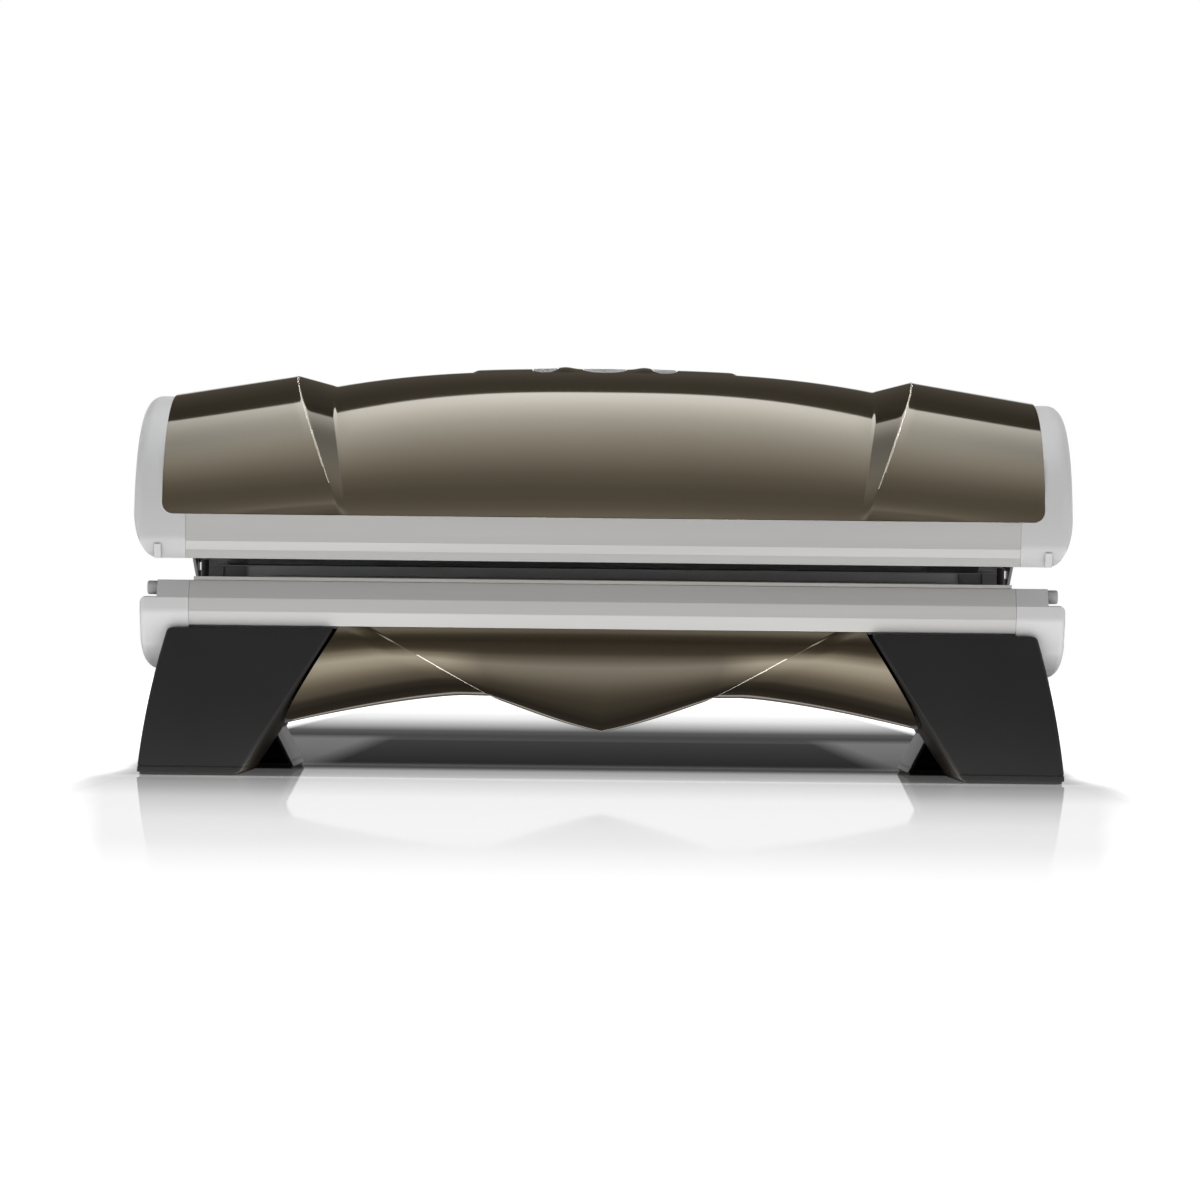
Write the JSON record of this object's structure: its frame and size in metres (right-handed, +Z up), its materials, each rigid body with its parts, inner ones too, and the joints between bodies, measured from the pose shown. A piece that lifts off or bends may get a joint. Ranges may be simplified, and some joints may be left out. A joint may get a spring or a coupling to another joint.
{
  "type": "clamshell tanning bed",
  "caption": "Lie-down clamshell tanning bed: a base on four splayed legs with a curved acrylic bench, and a rear-hinged canopy with crowned bronze shell.",
  "frame": {"origin": "on the floor under the middle of the bed's box", "axes": "+Z up, +X along the bed to the right of someone facing its front, -Y towards that person"},
  "size_m": [2.239, 1.1801, 1.004],
  "materials": {
    "bronze_shell": "glossy metallic bronze lacquer",
    "rail_aluminium": "satin anodised",
    "grey_cap": "satin light grey",
    "charcoal_leg": "satin charcoal",
    "foot_rubber": "matt",
    "clear_acrylic": "clear acrylic",
    "reflector": "bright rolled",
    "lamp_glass": "white phosphor coated tube",
    "holder_plastic": "moulded white",
    "steel_frame": "grey powder coat",
    "steel_pin": "turned, zinc plated",
    "black_metal": "black lacquer",
    "fan_plastic": "moulded black",
    "dark_panel": "fine grained dark grey",
    "silver_grille": "silver lacquer",
    "button_face": "soft satin",
    "circuit_board": "green resist"
  },
  "bodies": {
    "base": {"base_acrylic": "clear_acrylic", "base_ballasts": "black_metal", "base_belly_shell": "bronze_shell", "base_cap_bosses": "grey_cap", "base_end_cap_left": "grey_cap", "base_end_cap_right": "grey_cap", "base_fan_housings": "fan_plastic", "base_frame": "steel_frame", "base_front_rail": "rail_aluminium", "base_gear_tray": "steel_frame", "base_lamp_holders": "holder_plastic", "base_lamps": "lamp_glass", "base_rear_rail": "rail_aluminium", "base_reflector": "reflector", "bracket_bolts": "steel_pin", "control_gear_box": "dark_panel", "foot_pads": "foot_rubber", "front_leg_left": "charcoal_leg", "front_leg_right": "charcoal_leg", "gap_back_panel": "dark_panel", "gas_spring_low_studs": "steel_pin", "hinge_brackets": "steel_frame", "hinge_covers": "fan_plastic", "hinge_pins": "steel_pin", "mains_gland": "fan_plastic", "rear_leg_left": "charcoal_leg", "rear_leg_right": "charcoal_leg"},
    "canopy": {"arm_bolts": "steel_pin", "button_board": "circuit_board", "canopy_acrylic": "clear_acrylic", "canopy_ballasts": "black_metal", "canopy_cap_tabs": "grey_cap", "canopy_end_cap_left": "grey_cap", "canopy_end_cap_right": "grey_cap", "canopy_fan_housing": "fan_plastic", "canopy_frame": "steel_frame", "canopy_front_rail": "rail_aluminium", "canopy_gear_tray": "steel_frame", "canopy_lamp_holders": "holder_plastic", "canopy_lamps": "lamp_glass", "canopy_rear_rail": "rail_aluminium", "canopy_reflector": "reflector", "canopy_shell": "bronze_shell", "control_console": "dark_panel", "gas_spring_high_studs": "steel_pin", "hinge_arms": "steel_frame", "vent_cowl": "bronze_shell", "vent_grilles": "silver_grille"},
    "canopy_fan": {"canopy_fan_impeller": "fan_plastic"},
    "base_fan_left": {"base_fan_impeller_left": "fan_plastic"},
    "base_fan_right": {"base_fan_impeller_right": "fan_plastic"},
    "air_nozzle": {"air_nozzle": "holder_plastic"},
    "power_button": {"power_button": "button_face"},
    "canopy_fan_button": {"canopy_fan_button": "button_face"},
    "base_fan_button": {"base_fan_button": "button_face"},
    "timer_button": {"timer_button": "button_face"},
    "gas_spring_cylinder_left": {"gas_spring_cylinder_left": "black_metal"},
    "gas_spring_rod_left": {"gas_spring_rod_left": "steel_pin"},
    "gas_spring_cylinder_right": {"gas_spring_cylinder_right": "black_metal"},
    "gas_spring_rod_right": {"gas_spring_rod_right": "steel_pin"}
  },
  "joints": [
    {"name": "canopy_hinge", "type": "hinge", "parent": "base", "child": "canopy", "pos_m": [0, 0.56, 0.491], "axis": [-1, 0, 0], "range_deg": [0, 45]},
    {"name": "gas_spring_pivot_left", "type": "hinge", "parent": "base", "child": "gas_spring_cylinder_left", "pos_m": [-1.024, 0.4, 0.38], "axis": [-1, 0, 0], "range_deg": [0, 24.5]},
    {"name": "gas_spring_stroke_left", "type": "slide", "parent": "gas_spring_cylinder_left", "child": "gas_spring_rod_left", "axis": [0, 0, 1], "range_m": [0, 0.109]},
    {"name": "gas_spring_pivot_right", "type": "hinge", "parent": "base", "child": "gas_spring_cylinder_right", "pos_m": [1.024, 0.4, 0.38], "axis": [-1, 0, 0], "range_deg": [0, 24.5]},
    {"name": "gas_spring_stroke_right", "type": "slide", "parent": "gas_spring_cylinder_right", "child": "gas_spring_rod_right", "axis": [0, 0, 1], "range_m": [0, 0.109]},
    {"name": "canopy_fan_spin", "type": "hinge", "parent": "canopy", "child": "canopy_fan", "pos_m": [0, 0, 0.96], "axis": [0, 0, 1], "continuous": true},
    {"name": "base_fan_spin_left", "type": "hinge", "parent": "base", "child": "base_fan_left", "pos_m": [-0.3, 0, 0.32], "axis": [0, 0, 1], "continuous": true},
    {"name": "base_fan_spin_right", "type": "hinge", "parent": "base", "child": "base_fan_right", "pos_m": [0.3, 0, 0.32], "axis": [0, 0, 1], "continuous": true},
    {"name": "air_nozzle_swivel", "type": "hinge", "parent": "canopy", "child": "air_nozzle", "pos_m": [0.915, -0.105, 0.64], "axis": [1, 0, 0], "range_deg": [-20, 20]},
    {"name": "power_button_press", "type": "slide", "parent": "canopy", "child": "power_button", "axis": [0, 0, 1], "range_m": [0, 0.0015], "stiffness_N_per_m": 600, "springref_m": -0.001},
    {"name": "canopy_fan_button_press", "type": "slide", "parent": "canopy", "child": "canopy_fan_button", "axis": [0, 0, 1], "range_m": [0, 0.0015], "stiffness_N_per_m": 600, "springref_m": -0.001},
    {"name": "base_fan_button_press", "type": "slide", "parent": "canopy", "child": "base_fan_button", "axis": [0, 0, 1], "range_m": [0, 0.0015], "stiffness_N_per_m": 600, "springref_m": -0.001},
    {"name": "timer_button_press", "type": "slide", "parent": "canopy", "child": "timer_button", "axis": [0, 0, 1], "range_m": [0, 0.0015], "stiffness_N_per_m": 600, "springref_m": -0.001}
  ],
  "couplings": [
    {"joint": "gas_spring_pivot_left", "follows": "canopy_hinge", "ratio": 0.525},
    {"joint": "gas_spring_stroke_left", "follows": "canopy_hinge", "m_per_rad": 0.1367},
    {"joint": "gas_spring_pivot_right", "follows": "canopy_hinge", "ratio": 0.525},
    {"joint": "gas_spring_stroke_right", "follows": "canopy_hinge", "m_per_rad": 0.1367}
  ]
}
